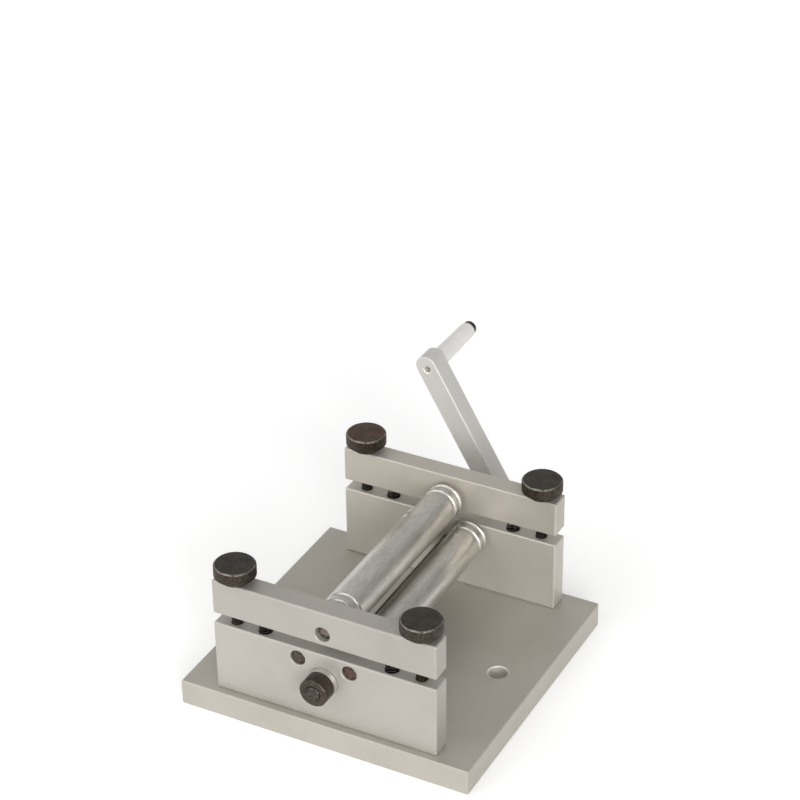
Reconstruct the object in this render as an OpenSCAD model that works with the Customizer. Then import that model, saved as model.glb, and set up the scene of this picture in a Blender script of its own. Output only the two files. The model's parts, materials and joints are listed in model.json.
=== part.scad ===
// Hand-cranked three-roller bending machine for small plate, tube and wire.
// Origin at the middle of the base plate's underside, X along the blocks, Y from front to crank, Z up.

/* [Base plate] */
// Thickness of the base plate
base_t = 15; // [12:0.5:20]
// Plate that shows beyond the blocks at the left and right
side_lip = 20; // [14:0.5:40]
// Plate that shows beyond the blocks at the front and rear
end_lip = 4.5; // [2:0.5:20]
// Diameter of the two bench bolt holes
bench_hole_d = 10.5; // [6:0.5:12]
// Distance of the bench bolt holes from the side edges
bench_hole_inset = 22.5; // [14:0.5:28]

/* [Blocks and bars] */
// Length of the blocks and bars
block_w = 130; // [116:1:160]
// Thickness of the blocks and bars
block_t = 12; // [11:0.5:16]
// Height of the lower blocks
block_h = 42; // [40:0.5:60]
// Height of the upper bars
bar_h = 20.5; // [18:0.5:30]
// Gap between each lower block and its upper bar
bar_gap = 6; // [6:0.25:8]
// Clear length between the front and rear blocks
roll_face = 131; // [100:1:200]
// Flat that breaks the edges of the plates and bars
edge_break = 0.6; // [0.2:0.1:1]
// Length of the socket screws that hold the blocks to the base
block_screw_l = 20; // [16:1:22]
// Thread diameter of those screws
block_screw_d = 5; // [4:0.5:6]
// Distance of those screws from the block ends
block_screw_inset = 25; // [20:0.5:32]

/* [Rollers] */
// Diameter of the three rollers
roller_d = 20; // [17:0.5:22]
// Distance between the axes of the two lower rollers
roller_pitch = 30; // [28:0.5:32]
// Diameter of the roller axles
axle_d = 8.5; // [8:0.25:10]
// Distance of the roller axes from the block and bar faces at the gap
axle_inset = 6.8; // [6.2:0.1:8]
// Diameter of the short boss at each roller end
boss_d = 13; // [12:0.5:15]
// Length of that boss
boss_l = 2; // [1:0.25:4]
// Radius of the wire grooves near the roller ends
groove_r = 1.9; // [1:0.1:2.2]
// Depth of the wire grooves
groove_depth = 1.1; // [0.5:0.1:1.4]
// Distance from the roller end to the middle of the outer wire groove
groove_inset = 3.4; // [3:0.1:6]
// Distance between the two wire grooves
groove_pitch = 5.8; // [4.8:0.1:8]
// Depth of the upper axle's end below the bar face
upper_recess = 3; // [1:0.25:5]
// Depth of the lower axles' front ends below the block face
lower_recess = 0.8; // [0.2:0.1:3]

/* [Thumb screws] */
// Thread diameter
thumb_d = 6; // [5:0.5:6.5]
// Length in the lower block
thumb_reach = 18; // [14:0.5:20]
// Distance of the thumb screws from the bar ends
thumb_inset = 11; // [9:0.5:14]
// Diameter of the knurled head
knob_d = 22.7; // [18:0.1:26]
// Height of the knurled head
knob_h = 7.5; // [5:0.25:12]
// Diameter of the hub under the head
knob_hub_d = 15.5; // [12:0.25:17]
// Height of the hub under the head
knob_hub_h = 2.7; // [1.5:0.1:6]
// Flat that breaks the rim of the head
knob_break = 0.9; // [0.4:0.1:1.5]

/* [Lift springs] */
// Outside diameter
spring_d = 6.8; // [5.5:0.1:7.2]
// Wire diameter
spring_wire = 0.9; // [0.6:0.1:1]
// Number of coils
spring_turns = 8; // [6:1:9]
// Depth of each spring pocket
spring_pocket = 7; // [5:0.5:9]
// Distance of the springs from the block ends
spring_inset = 28; // [22:0.5:34]

/* [Drive] */
// Gear module
gear_module = 1; // [0.95:0.05:1.1]
// Teeth on the drive pinion
pinion_teeth = 16; // [15:1:18]
// Teeth on each roller gear
gear_teeth = 20; // [20:1:24]
// Width of the gear teeth
gear_face = 6; // [4:0.5:10]
// Length of the gear hubs
hub_l = 6; // [5:0.5:10]
// Wall of the roller gear hubs
hub_wall = 3; // [2.5:0.25:3.5]
// Diameter of the drive shaft
shaft_d = 8; // [7:0.25:9]
// Diameter of the shaft collar
collar_d = 16; // [14:0.5:18]
// Length of the shaft collar
collar_l = 8.5; // [8:0.5:14]
// Thickness of the thrust washers
washer_t = 1.4; // [0.5:0.1:1.5]
// Diameter of the grub screws
grub_d = 4; // [3:0.5:4]

/* [Crank] */
// Distance from the rear block to the crank arm
crank_reach = 43.5; // [30:0.5:60]
// Distance between the shaft and the grip
arm_l = 82; // [60:1:110]
// Distance from the grip's pin to the middle of the arm's round end
arm_over = 1.8; // [0:0.1:4]
// Width of the arm
arm_w = 12.7; // [12:0.1:18]
// Thickness of the arm
arm_t = 12.7; // [10:0.1:18]
// Lean of the arm from upright, towards the left
arm_lean = 30; // [0:1:60]
// Diameter of the grip at the arm
grip_d = 10.6; // [10:0.1:16]
// Loss of diameter from there to the grip's far end
grip_taper = 1; // [0:0.1:1.2]
// Length of the grip
grip_l = 39; // [24:0.5:60]
// Diameter of the pin that the grip turns on
grip_pin_d = 6; // [5:0.25:6.5]
// Thickness of the head that keeps the grip on
grip_head_t = 3.7; // [2:0.1:5]

/* [Hidden] */
$fn = 64;
// Radial clearance of parts that turn or slide in each other
run_fit = 0.05;
// Clearance between flat faces that turn or slide past each other
face_gap = 0.1;
// Axial play of the rollers between the blocks
roller_play = 0.3;
// Flats at the mouths of holes and the ends of turned parts
bore_break = 0.4;
turned_break = 0.5;
// Downward travel of the bars that the tapped holes leave room for
bar_drop = 5.5;
// Room left at the bottom of blind holes
hole_spare = 1;
// Overlap of cutting shapes past the faces they cut
over = 1;

// Places that everything else is set from
inner_y = roll_face / 2;
outer_y = inner_y + block_t;
block_y = inner_y + block_t / 2;
base_w = block_w + 2 * side_lip;
base_d = 2 * (outer_y + end_lip);
block_top = base_t + block_h;
bar_bottom = block_top + bar_gap;
bar_top = bar_bottom + bar_h;
lower_x = roller_pitch / 2;
lower_z = block_top - axle_inset;
upper_z = bar_bottom + axle_inset;
thumb_x = block_w / 2 - thumb_inset;
spring_x = block_w / 2 - spring_inset;
block_screw_x = block_w / 2 - block_screw_inset;
bench_hole_x = base_w / 2 - bench_hole_inset;

// Gear train: one pinion under and between two equal roller gears
pressure_angle = 20;
backlash = 0.16;
gear_distance = gear_module * (pinion_teeth + gear_teeth) / 2;
drive_z = lower_z - sqrt(pow(gear_distance, 2) - pow(lower_x, 2));
mesh_angle = atan2(lower_z - drive_z, lower_x);
gear_front = outer_y + face_gap + washer_t;
gear_rear = gear_front + gear_face;
hub_rear = gear_rear + hub_l;
gear_shoulder = 0.5;
gear_seat_d = axle_d - 2 * gear_shoulder;
gear_hub_d = gear_seat_d + 2 * hub_wall;
function root_radius(teeth) = gear_module * (teeth / 2 - 1.25);
// The pinion's hub stays below its tooth roots, clear of the roller gears' tips
pinion_hub_step = 0.25;
pinion_hub_d = 2 * (root_radius(pinion_teeth) - pinion_hub_step);

// Drive shaft and crank
collar_rear = outer_y + 2 * (face_gap + washer_t);
collar_front = collar_rear + collar_l;
shaft_stub = 0.6;
washer_rim = 0.5;
washer_d = collar_d + 2 * washer_rim;
spigot_step = 1;
spigot_d = shaft_d - 2 * spigot_step;
spigot_recess = 0.5;
arm_front = outer_y + crank_reach;
arm_rear = arm_front + arm_t;
arm_break = 0.5;
grip_shoulder = 1;
grip_thread_d = grip_pin_d - 2 * grip_shoulder;
grip_thread_l = 0.7 * arm_t;
grip_end = arm_rear + grip_l + 2 * face_gap;
grip_tip_d = grip_d - grip_taper;
grip_round = 1;
grip_head_step = 0.6;
grip_head_d = grip_tip_d - 2 * grip_head_step;
grip_head_round = 1.2;
round_step = 15;

// Block screws
screw_head_d = 1.7 * block_screw_d;
screw_head_h = block_screw_d;
counterbore_d = screw_head_d + 1;
counterbore_h = screw_head_h + 0.5;
hex_key = 0.8;

// Springs
spring_r = (spring_d - spring_wire) / 2;
spring_z = block_top - spring_pocket;
spring_l = bar_gap + 2 * spring_pocket - face_gap;
spring_clear = 0.4;
spring_rings = 8;
wire_sides = 6;

ALUMINIUM = [0.76, 0.74, 0.71];
BRIGHT_STEEL = [0.83, 0.83, 0.82];
BLACK_STEEL = [0.24, 0.22, 0.20];
SPRING_STEEL = [0.16, 0.15, 0.14];
GRIP_PLASTIC = [0.86, 0.85, 0.83];
BLACK_PLASTIC = [0.07, 0.07, 0.07];

// Rectangle with its corners cut at 45 degrees
module broken_rectangle(w, h, c) {
    polygon([
        [c - w / 2, -h / 2], [w / 2 - c, -h / 2], [w / 2, c - h / 2], [w / 2, h / 2 - c],
        [w / 2 - c, h / 2], [c - w / 2, h / 2], [-w / 2, h / 2 - c], [-w / 2, c - h / 2]
    ]);
}

// Bar of metal with all its edges broken, standing on Z = 0 and centred on X and Y
module broken_bar(w, d, h) {
    intersection() {
        linear_extrude(h) broken_rectangle(w, d, edge_break);
        translate([0, 0, h / 2]) rotate([90, 0, 0])
            linear_extrude(d, center = true) broken_rectangle(w, h, edge_break);
        translate([0, 0, h / 2]) rotate([90, 0, 90])
            linear_extrude(w, center = true) broken_rectangle(d, h, edge_break);
    }
}

// Turned piece along +Y from an outline of radius and place
module turned(outline) {
    rotate([-90, 0, 0]) rotate_extrude() polygon(outline);
}

// Plain rod along +Y with broken ends
module rod(d, y0, y1, c = turned_break) {
    turned([[0, y0], [d / 2 - c, y0], [d / 2, y0 + c], [d / 2, y1 - c], [d / 2 - c, y1], [0, y1]]);
}

// Cutting shape for a hole along +Y with broken mouths
module hole_y(d, y0, y1, c = bore_break) {
    turned([
        [0, y0 - over], [d / 2 + c + over, y0 - over], [d / 2, y0 + c],
        [d / 2, y1 - c], [d / 2 + c + over, y1 + over], [0, y1 + over]
    ]);
}

// Cutting shape for a blind hole downwards from z, with a broken mouth and a drilled point
module hole_down(d, z, depth, c = bore_break) {
    drill_point = d / 2 * tan(30);
    translate([0, 0, z]) rotate_extrude() polygon([
        [0, over], [d / 2 + c + over, over], [d / 2, -c], [d / 2, -depth], [0, -depth - drill_point]
    ]);
}

// Flat-bottomed pocket downwards from z, with a broken mouth
module pocket_down(d, z, depth, c = bore_break) {
    translate([0, 0, z]) rotate_extrude() polygon([
        [0, over], [d / 2 + c + over, over], [d / 2, -c], [d / 2, -depth], [0, -depth]
    ]);
}

// Copies at the left and right
module both_sides(x) {
    for (side = [-1, 1]) translate([side * x, 0, 0]) children();
}

module base_plate() color(ALUMINIUM) {
    difference() {
        broken_bar(base_w, base_d, base_t);
        both_sides(bench_hole_x) translate([0, 0, base_t / 2])
            rotate([-90, 0, 0]) hole_y(bench_hole_d, -base_t / 2, base_t / 2);
        for (end = [-1, 1]) both_sides(block_screw_x) translate([0, end * block_y, 0]) {
            translate([0, 0, -over])
                cylinder(d = counterbore_d, h = counterbore_h + over);
            cylinder(d = block_screw_d + 4 * run_fit, h = base_t + over);
        }
    }
}

// Lower block at its own middle, with the same holes at front and rear
module lower_block() {
    difference() {
        translate([0, 0, base_t]) broken_bar(block_w, block_t, block_h);
        both_sides(lower_x) translate([0, 0, lower_z])
            hole_y(axle_d + 2 * run_fit, -block_t / 2, block_t / 2);
        translate([0, 0, drive_z])
            hole_y(shaft_d + 2 * run_fit, -block_t / 2, block_t / 2);
        both_sides(thumb_x)
            hole_down(thumb_d + 2 * run_fit, block_top, thumb_reach + bar_drop + hole_spare);
        both_sides(spring_x)
            pocket_down(spring_d + 2 * spring_clear, block_top, spring_pocket);
        both_sides(block_screw_x) mirror([0, 0, 1])
            hole_down(block_screw_d + 2 * run_fit, -base_t,
                      counterbore_h + block_screw_l - base_t + hole_spare);
    }
}

module front_lower_block() color(ALUMINIUM) translate([0, -block_y, 0]) lower_block();

module rear_lower_block() color(ALUMINIUM) translate([0, block_y, 0]) lower_block();

// Pair of socket screws, heads down in the base plate's counterbores
module block_screws() {
    both_sides(block_screw_x) translate([0, 0, counterbore_h]) difference() {
        rotate_extrude() polygon([
            [0, -screw_head_h], [screw_head_d / 2 - turned_break, -screw_head_h],
            [screw_head_d / 2, turned_break - screw_head_h], [screw_head_d / 2, 0],
            [block_screw_d / 2, 0], [block_screw_d / 2, block_screw_l - turned_break],
            [block_screw_d / 2 - turned_break, block_screw_l], [0, block_screw_l]
        ]);
        translate([0, 0, -screw_head_h - over])
            cylinder(d = hex_key * block_screw_d / cos(30), h = screw_head_h / 2 + over, $fn = 6);
    }
}

module front_block_screws() color(BLACK_STEEL) translate([0, -block_y, 0]) block_screws();

module rear_block_screws() color(BLACK_STEEL) translate([0, block_y, 0]) block_screws();

// Stations along the spring wire: angle about the spring, height and the wire's rise from level.
// Each end stands upright for one wire diameter, then bends into the helix.
bend_r = spring_wire;
bend_angle = bend_r / spring_r * 180 / PI;
coil_bottom = spring_wire + bend_r;
coil_rise = spring_l - 2 * coil_bottom;
coil_slope = atan2(coil_rise, 2 * PI * spring_r * spring_turns);
coil_steps = spring_rings * spring_turns;
bend_side = 1 - cos(45);
stations = concat(
    [[-bend_angle, 0, 90], [-bend_angle, spring_wire, 90],
     [bend_angle * (bend_side - 1), spring_wire + bend_r * sin(45), 45]],
    [for (i = [0 : coil_steps])
        [360 * spring_turns * i / coil_steps, coil_bottom + coil_rise * i / coil_steps, coil_slope]],
    [[360 * spring_turns + bend_angle * (1 - bend_side), spring_l - spring_wire - bend_r * sin(45), 45],
     [360 * spring_turns + bend_angle, spring_l - spring_wire, 90],
     [360 * spring_turns + bend_angle, spring_l, 90]]
);
function wire_centre(s) = [spring_r * cos(s[0]), spring_r * sin(s[0]), s[1]];
function wire_point(s, k) =
    let (
        out = [cos(s[0]), sin(s[0]), 0],
        along = [-sin(s[0]) * cos(s[2]), cos(s[0]) * cos(s[2]), sin(s[2])],
        turn = 360 * k / wire_sides
    )
    wire_centre(s) + spring_wire / 2 * (cos(turn) * out + sin(turn) * cross(along, out));

// Least clearance between neighbouring coils, measured on the wire's centre points
function coil_gap(step) = min([
    for (i = [0 : len(stations) - 1 - step]) for (j = [i + step : len(stations) - 1])
        norm(wire_centre(stations[i]) - wire_centre(stations[j]))
]) - spring_wire;
echo(least_spring_gap_mm = coil_gap(spring_rings - 2));

// One spring wire as a closed tube, standing on Z = 0
module spring_coil() {
    last = len(stations) - 1;
    points = [for (s = stations) for (k = [0 : wire_sides - 1]) wire_point(s, k)];
    walls = [
        for (i = [0 : last - 1]) for (k = [0 : wire_sides - 1])
            let (a = i * wire_sides + k, b = i * wire_sides + (k + 1) % wire_sides)
                each [[a, a + wire_sides, b], [b, a + wire_sides, b + wire_sides]]
    ];
    tip = last * wire_sides;
    bottom = [for (k = [1 : wire_sides - 2]) [0, k, k + 1]];
    top = [for (k = [1 : wire_sides - 2]) [tip, tip + k + 1, tip + k]];
    polyhedron(points, concat(walls, bottom, top), convexity = 12);
}

module lift_spring(side, end) {
    color(SPRING_STEEL) translate([side * spring_x, end * block_y, spring_z]) spring_coil();
}

module front_left_spring() lift_spring(-1, -1);

module front_right_spring() lift_spring(1, -1);

module rear_left_spring() lift_spring(-1, 1);

module rear_right_spring() lift_spring(1, 1);

// Upper bar at its own middle
module upper_bar() {
    difference() {
        translate([0, 0, bar_bottom]) broken_bar(block_w, block_t, bar_h);
        translate([0, 0, upper_z])
            hole_y(axle_d + 2 * run_fit, -block_t / 2, block_t / 2);
        both_sides(thumb_x) translate([0, 0, bar_bottom + bar_h / 2])
            rotate([-90, 0, 0]) hole_y(thumb_d + 2 * run_fit, -bar_h / 2, bar_h / 2);
        both_sides(spring_x) mirror([0, 0, 1])
            pocket_down(spring_d + 2 * spring_clear, -bar_bottom, spring_pocket);
    }
}

module front_upper_bar() color(ALUMINIUM) translate([0, -block_y, 0]) upper_bar();

module rear_upper_bar() color(ALUMINIUM) translate([0, block_y, 0]) upper_bar();

// Thumb screw with a wide rimmed head on a smaller hub
module thumb_screw(side, end) {
    shank_l = bar_h + bar_gap + thumb_reach;
    head_top = knob_hub_h + knob_h;
    color(BLACK_STEEL) translate([side * thumb_x, end * block_y, bar_top + face_gap])
        rotate_extrude() polygon([
            [0, -shank_l], [thumb_d / 2 - turned_break, -shank_l],
            [thumb_d / 2, turned_break - shank_l], [thumb_d / 2, 0],
            [knob_hub_d / 2, 0], [knob_hub_d / 2, knob_hub_h],
            [knob_d / 2 - knob_break, knob_hub_h], [knob_d / 2, knob_hub_h + knob_break],
            [knob_d / 2, head_top - knob_break], [knob_d / 2 - knob_break, head_top], [0, head_top]
        ]);
}

module front_left_thumb_screw() thumb_screw(-1, -1);

module front_right_thumb_screw() thumb_screw(1, -1);

module rear_left_thumb_screw() thumb_screw(-1, 1);

module rear_right_thumb_screw() thumb_screw(1, 1);

// Roller with a short boss and two wire grooves at each end, bored for its axle
module roller() {
    boss_end = inner_y - roller_play;
    face_end = boss_end - boss_l;
    color(BRIGHT_STEEL) difference() {
        turned([
            [axle_d / 2, -boss_end], [boss_d / 2, -boss_end], [boss_d / 2, -face_end],
            [roller_d / 2 - turned_break, -face_end], [roller_d / 2, turned_break - face_end],
            [roller_d / 2, face_end - turned_break], [roller_d / 2 - turned_break, face_end],
            [boss_d / 2, face_end], [boss_d / 2, boss_end], [axle_d / 2, boss_end]
        ]);
        for (end = [-1, 1]) for (i = [0, 1])
            rotate([-90, 0, 0]) rotate_extrude()
                translate([roller_d / 2 + groove_r - groove_depth,
                           end * (face_end - groove_inset - i * groove_pitch)])
                    circle(r = groove_r);
    }
}

module upper_roller() translate([0, 0, upper_z]) roller();

module left_roller() translate([-lower_x, 0, lower_z]) roller();

module right_roller() translate([lower_x, 0, lower_z]) roller();

module upper_axle() color(BLACK_STEEL) translate([0, 0, upper_z])
    rod(axle_d, upper_recess - outer_y, outer_y - upper_recess);

// Lower axle, stepped down at the rear for its gear
module lower_axle() {
    front = lower_recess - outer_y;
    color(BLACK_STEEL) turned([
        [0, front], [axle_d / 2 - turned_break, front], [axle_d / 2, front + turned_break],
        [axle_d / 2, gear_front], [gear_seat_d / 2, gear_front],
        [gear_seat_d / 2, hub_rear - turned_break], [gear_seat_d / 2 - turned_break, hub_rear],
        [0, hub_rear]
    ]);
}

module left_axle() translate([-lower_x, 0, lower_z]) lower_axle();

module right_axle() translate([lower_x, 0, lower_z]) lower_axle();

// Involute tooth flanks
function involute(a) = tan(a) * 180 / PI - a;
function flank_angle(teeth, r) =
    let (
        pitch_r = gear_module * teeth / 2,
        base_r = pitch_r * cos(pressure_angle),
        half_tooth = 90 / teeth - backlash / 4 / pitch_r * 180 / PI
    )
    half_tooth + involute(pressure_angle) - involute(acos(base_r / max(r, base_r)));

// Outline of a spur gear with a tooth centred on the given angle
module gear_outline(teeth, phase) {
    pitch_r = gear_module * teeth / 2;
    base_r = pitch_r * cos(pressure_angle);
    tip_r = pitch_r + gear_module;
    steps = 4;
    radii = concat([root_radius(teeth)], [for (i = [0 : steps]) base_r + (tip_r - base_r) * i / steps]);
    count = len(radii);
    polygon([
        for (t = [0 : teeth - 1]) let (centre = phase + 360 * t / teeth)
            each concat(
                [for (i = [0 : count - 1])
                    let (a = centre - flank_angle(teeth, radii[i])) radii[i] * [cos(a), sin(a)]],
                [for (i = [count - 1 : -1 : 0])
                    let (a = centre + flank_angle(teeth, radii[i])) radii[i] * [cos(a), sin(a)]]
            )
    ]);
}

// Spur gear with a rear hub, bored for its shaft and tapped for a grub screw on the given side
module hubbed_gear(teeth, bore, hub_d, phase, grub_angle) {
    color(BRIGHT_STEEL) difference() {
        union() {
            translate([0, gear_rear, 0]) rotate([90, 0, 0])
                linear_extrude(gear_face) gear_outline(teeth, phase);
            turned([
                [0, gear_rear - over], [hub_d / 2, gear_rear - over], [hub_d / 2, hub_rear - turned_break],
                [hub_d / 2 - turned_break, hub_rear], [0, hub_rear]
            ]);
        }
        translate([0, gear_front - over, 0]) rotate([-90, 0, 0])
            cylinder(d = bore, h = hub_rear - gear_front + 2 * over);
        translate([0, gear_rear + hub_l / 2, 0]) rotate([0, 90 - grub_angle, 0])
            cylinder(d = grub_d + 2 * run_fit, h = hub_d);
    }
}

// Grub screw from the shaft's surface outwards, at the given place along Y
module grub_screw(shaft, wall, y, angle) {
    length = wall - bore_break;
    socket_depth = length / 2;
    color(BLACK_STEEL) translate([0, y, 0]) rotate([0, 90 - angle, 0])
        translate([0, 0, shaft / 2]) difference() {
            cylinder(d = grub_d, h = length);
            translate([0, 0, length - socket_depth])
                cylinder(d = grub_d / 2 / cos(30), h = socket_depth + over, $fn = 6);
        }
}

// Gear phase that meshes with a pinion tooth centred on the line to the right gear
function mesh_phase(line) =
    line + 180 + 180 / gear_teeth - (mesh_angle - line) * pinion_teeth / gear_teeth;

left_grub_angle = 150;
right_grub_angle = 30;
pinion_grub_angle = -90;

module left_gear() translate([-lower_x, 0, lower_z])
    hubbed_gear(gear_teeth, gear_seat_d, gear_hub_d, mesh_phase(180 - mesh_angle), left_grub_angle);

module right_gear() translate([lower_x, 0, lower_z])
    hubbed_gear(gear_teeth, gear_seat_d, gear_hub_d, mesh_phase(mesh_angle), right_grub_angle);

module left_gear_grub() translate([-lower_x, 0, lower_z])
    grub_screw(gear_seat_d, hub_wall, gear_rear + hub_l / 2, left_grub_angle);

module right_gear_grub() translate([lower_x, 0, lower_z])
    grub_screw(gear_seat_d, hub_wall, gear_rear + hub_l / 2, right_grub_angle);

module drive_pinion() translate([0, 0, drive_z])
    hubbed_gear(pinion_teeth, shaft_d, pinion_hub_d, mesh_angle, pinion_grub_angle);

module pinion_grub() translate([0, 0, drive_z])
    grub_screw(shaft_d, (pinion_hub_d - shaft_d) / 2, gear_rear + hub_l / 2, pinion_grub_angle);

// Shaft from the front collar to the crank, with a smaller spigot for the arm
module drive_shaft() {
    front = -collar_front - shaft_stub;
    rear = arm_rear - spigot_recess;
    color(BLACK_STEEL) translate([0, 0, drive_z]) turned([
        [0, front], [shaft_d / 2 - turned_break, front], [shaft_d / 2, front + turned_break],
        [shaft_d / 2, arm_front], [spigot_d / 2, arm_front],
        [spigot_d / 2, rear - turned_break], [spigot_d / 2 - turned_break, rear], [0, rear]
    ]);
}

// Ring on the drive shaft from y0 to y1
module shaft_ring(d, y0, y1, c) {
    translate([0, 0, drive_z]) turned([
        [shaft_d / 2 + c, y0], [d / 2 - c, y0], [d / 2, y0 + c], [d / 2, y1 - c], [d / 2 - c, y1],
        [shaft_d / 2 + c, y1], [shaft_d / 2, y1 - c], [shaft_d / 2, y0 + c]
    ]);
}

module front_washers() color(BRIGHT_STEEL) {
    for (i = [1, 2]) {
        rear = outer_y + i * face_gap + (i - 1) * washer_t;
        shaft_ring(washer_d, -rear - washer_t, -rear, washer_t / 8);
    }
}

module rear_washer() color(BRIGHT_STEEL)
    shaft_ring(washer_d, outer_y + face_gap, gear_front, washer_t / 8);

collar_grub_angle = -60;
collar_middle = -(collar_rear + collar_front) / 2;

module shaft_collar() color(BLACK_STEEL) difference() {
    shaft_ring(collar_d, -collar_front, -collar_rear, turned_break);
    translate([0, collar_middle, drive_z]) rotate([0, 90 - collar_grub_angle, 0])
        cylinder(d = grub_d + 2 * run_fit, h = collar_d);
}

module collar_grub() translate([0, 0, drive_z])
    grub_screw(shaft_d, (collar_d - shaft_d) / 2, collar_middle, collar_grub_angle);

// Places its children at the drive shaft, with their X along the crank arm
module at_arm() {
    translate([0, 0, drive_z]) rotate([0, -90 - arm_lean, 0]) children();
}

// Half-round arm end with the same broken edges as the arm
module arm_end() {
    rotate([90, 0, 0]) rotate_extrude(angle = 180) polygon([
        [0, -arm_t / 2], [arm_w / 2 - arm_break, -arm_t / 2], [arm_w / 2, arm_break - arm_t / 2],
        [arm_w / 2, arm_t / 2 - arm_break], [arm_w / 2 - arm_break, arm_t / 2], [0, arm_t / 2]
    ]);
}

module crank_arm() color(ALUMINIUM) at_arm() {
    middle = (arm_front + arm_rear) / 2;
    difference() {
        translate([0, middle, 0]) {
            rotate([90, 0, 90])
                linear_extrude(arm_l + arm_over) broken_rectangle(arm_t, arm_w, arm_break);
            translate([arm_l + arm_over, 0, 0]) rotate([0, 90, 0]) arm_end();
            rotate([0, -90, 0]) arm_end();
        }
        hole_y(spigot_d, arm_front, arm_rear);
        translate([arm_l, 0, 0]) hole_y(grip_thread_d, arm_front, arm_rear);
        translate([0, middle, 0]) rotate([0, -90, 0]) cylinder(d = grub_d + 2 * run_fit, h = arm_w);
    }
}

module arm_grub() at_arm()
    grub_screw(spigot_d, (arm_w - spigot_d) / 2, (arm_front + arm_rear) / 2, 180);

// Outline points of a rounded rear edge with the given radius at the end of a turned piece
function round_edge(r, y, radius) = [
    for (a = [0 : round_step : 90]) [r + radius * (cos(a) - 1), y + radius * (sin(a) - 1)]
];

// Shoulder bolt with a button head that the grip turns on, screwed into the arm
module grip_bolt() color(BLACK_PLASTIC) at_arm() translate([arm_l, 0, 0]) difference() {
    head_end = grip_end + grip_head_t;
    turned(concat(
        [[0, arm_rear - grip_thread_l], [grip_thread_d / 2 - turned_break, arm_rear - grip_thread_l],
         [grip_thread_d / 2, arm_rear - grip_thread_l + turned_break], [grip_thread_d / 2, arm_rear],
         [grip_pin_d / 2, arm_rear], [grip_pin_d / 2, grip_end], [grip_head_d / 2, grip_end]],
        round_edge(grip_head_d / 2, head_end, grip_head_round), [[0, head_end]]
    ));
    translate([0, grip_end, 0]) rotate([-90, 0, 0])
        translate([0, 0, grip_head_t / 3])
            cylinder(d = grip_pin_d * 2 / 3 / cos(30), h = grip_head_t, $fn = 6);
}

// Tapered sleeve with a rounded end that turns freely on the grip bolt
module crank_grip() color(GRIP_PLASTIC) at_arm() translate([arm_l, 0, 0]) {
    front = arm_rear + face_gap;
    rear = grip_end - face_gap;
    bore = grip_pin_d / 2 + run_fit;
    turned(concat(
        [[bore, front], [grip_d / 2 - turned_break, front], [grip_d / 2, front + turned_break]],
        round_edge(grip_tip_d / 2, rear, grip_round), [[bore, rear]]
    ));
}

base_plate();
front_lower_block();
rear_lower_block();
front_block_screws();
rear_block_screws();
front_left_spring();
front_right_spring();
rear_left_spring();
rear_right_spring();
front_upper_bar();
rear_upper_bar();
front_left_thumb_screw();
front_right_thumb_screw();
rear_left_thumb_screw();
rear_right_thumb_screw();
upper_roller();
upper_axle();
left_roller();
left_axle();
left_gear();
left_gear_grub();
right_roller();
right_axle();
right_gear();
right_gear_grub();
drive_shaft();
drive_pinion();
pinion_grub();
front_washers();
rear_washer();
shaft_collar();
collar_grub();
crank_arm();
arm_grub();
grip_bolt();
crank_grip();
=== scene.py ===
"""Looks of a hand-cranked three-roller bending machine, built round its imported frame.

Lengths are metres in the frame's own axes: X along the blocks, Y from the front to the crank, Z up.
"""
import json
import math

import bmesh
import bpy
from mathutils import Matrix, Vector


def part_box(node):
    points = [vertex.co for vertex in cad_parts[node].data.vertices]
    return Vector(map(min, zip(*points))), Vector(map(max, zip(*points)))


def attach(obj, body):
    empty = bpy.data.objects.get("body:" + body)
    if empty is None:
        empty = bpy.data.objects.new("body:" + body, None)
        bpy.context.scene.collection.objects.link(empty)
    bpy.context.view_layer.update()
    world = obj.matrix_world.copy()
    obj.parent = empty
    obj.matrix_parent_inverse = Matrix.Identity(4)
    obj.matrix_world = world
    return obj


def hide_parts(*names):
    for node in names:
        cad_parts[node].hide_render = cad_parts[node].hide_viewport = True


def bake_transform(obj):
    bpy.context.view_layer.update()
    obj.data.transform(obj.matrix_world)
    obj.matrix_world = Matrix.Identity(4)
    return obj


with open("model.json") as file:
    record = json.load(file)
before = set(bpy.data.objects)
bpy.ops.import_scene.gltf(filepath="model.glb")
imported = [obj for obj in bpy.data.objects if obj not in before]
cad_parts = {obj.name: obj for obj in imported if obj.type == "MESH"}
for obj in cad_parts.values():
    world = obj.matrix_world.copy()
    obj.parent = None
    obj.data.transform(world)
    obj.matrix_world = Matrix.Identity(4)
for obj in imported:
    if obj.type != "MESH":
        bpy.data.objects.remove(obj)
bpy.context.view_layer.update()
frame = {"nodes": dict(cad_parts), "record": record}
nodes = frame["nodes"]
scene = bpy.context.scene
MM = 0.001

# Camera at the photograph's viewing angle
CAMERA_AZIMUTH = math.radians(27.951)
CAMERA_ELEVATION = math.radians(31.026)
CAMERA_ROLL = math.radians(-0.754)
CAMERA_DISTANCE = 1541.8 * MM
CAMERA_TARGET = Vector((-95.0, 189.5, 40.0)) * MM
CAMERA_LENS = 113.86
CAMERA_SENSOR = 36.0

# Floor and surroundings, where a level of 1 is white
WHITE = (1.0, 1.0, 1.0)
FLOOR_TINT = (0.86, 0.86, 0.855)
FLOOR_ROUGHNESS = 0.9
FLOOR_GLOW = 0.32
FLOOR_SIZE = 30.0
SKY_STOPS = ((0.0, 0.82), (0.15, 0.64), (0.4, 0.53), (1.0, 0.46))
SKY_DIM_SIDE = (0.6, 0.8, 0.0)
SKY_DIM_SPAN = (0.68, 0.97)
SKY_DIM_LEVEL = 0.45
SKY_BACK_SIDE = (-0.4, 0.76, 0.51)
SKY_BACK_SPAN = (0.5, 0.95)
SKY_BACK_LEVEL = 1.25

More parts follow.
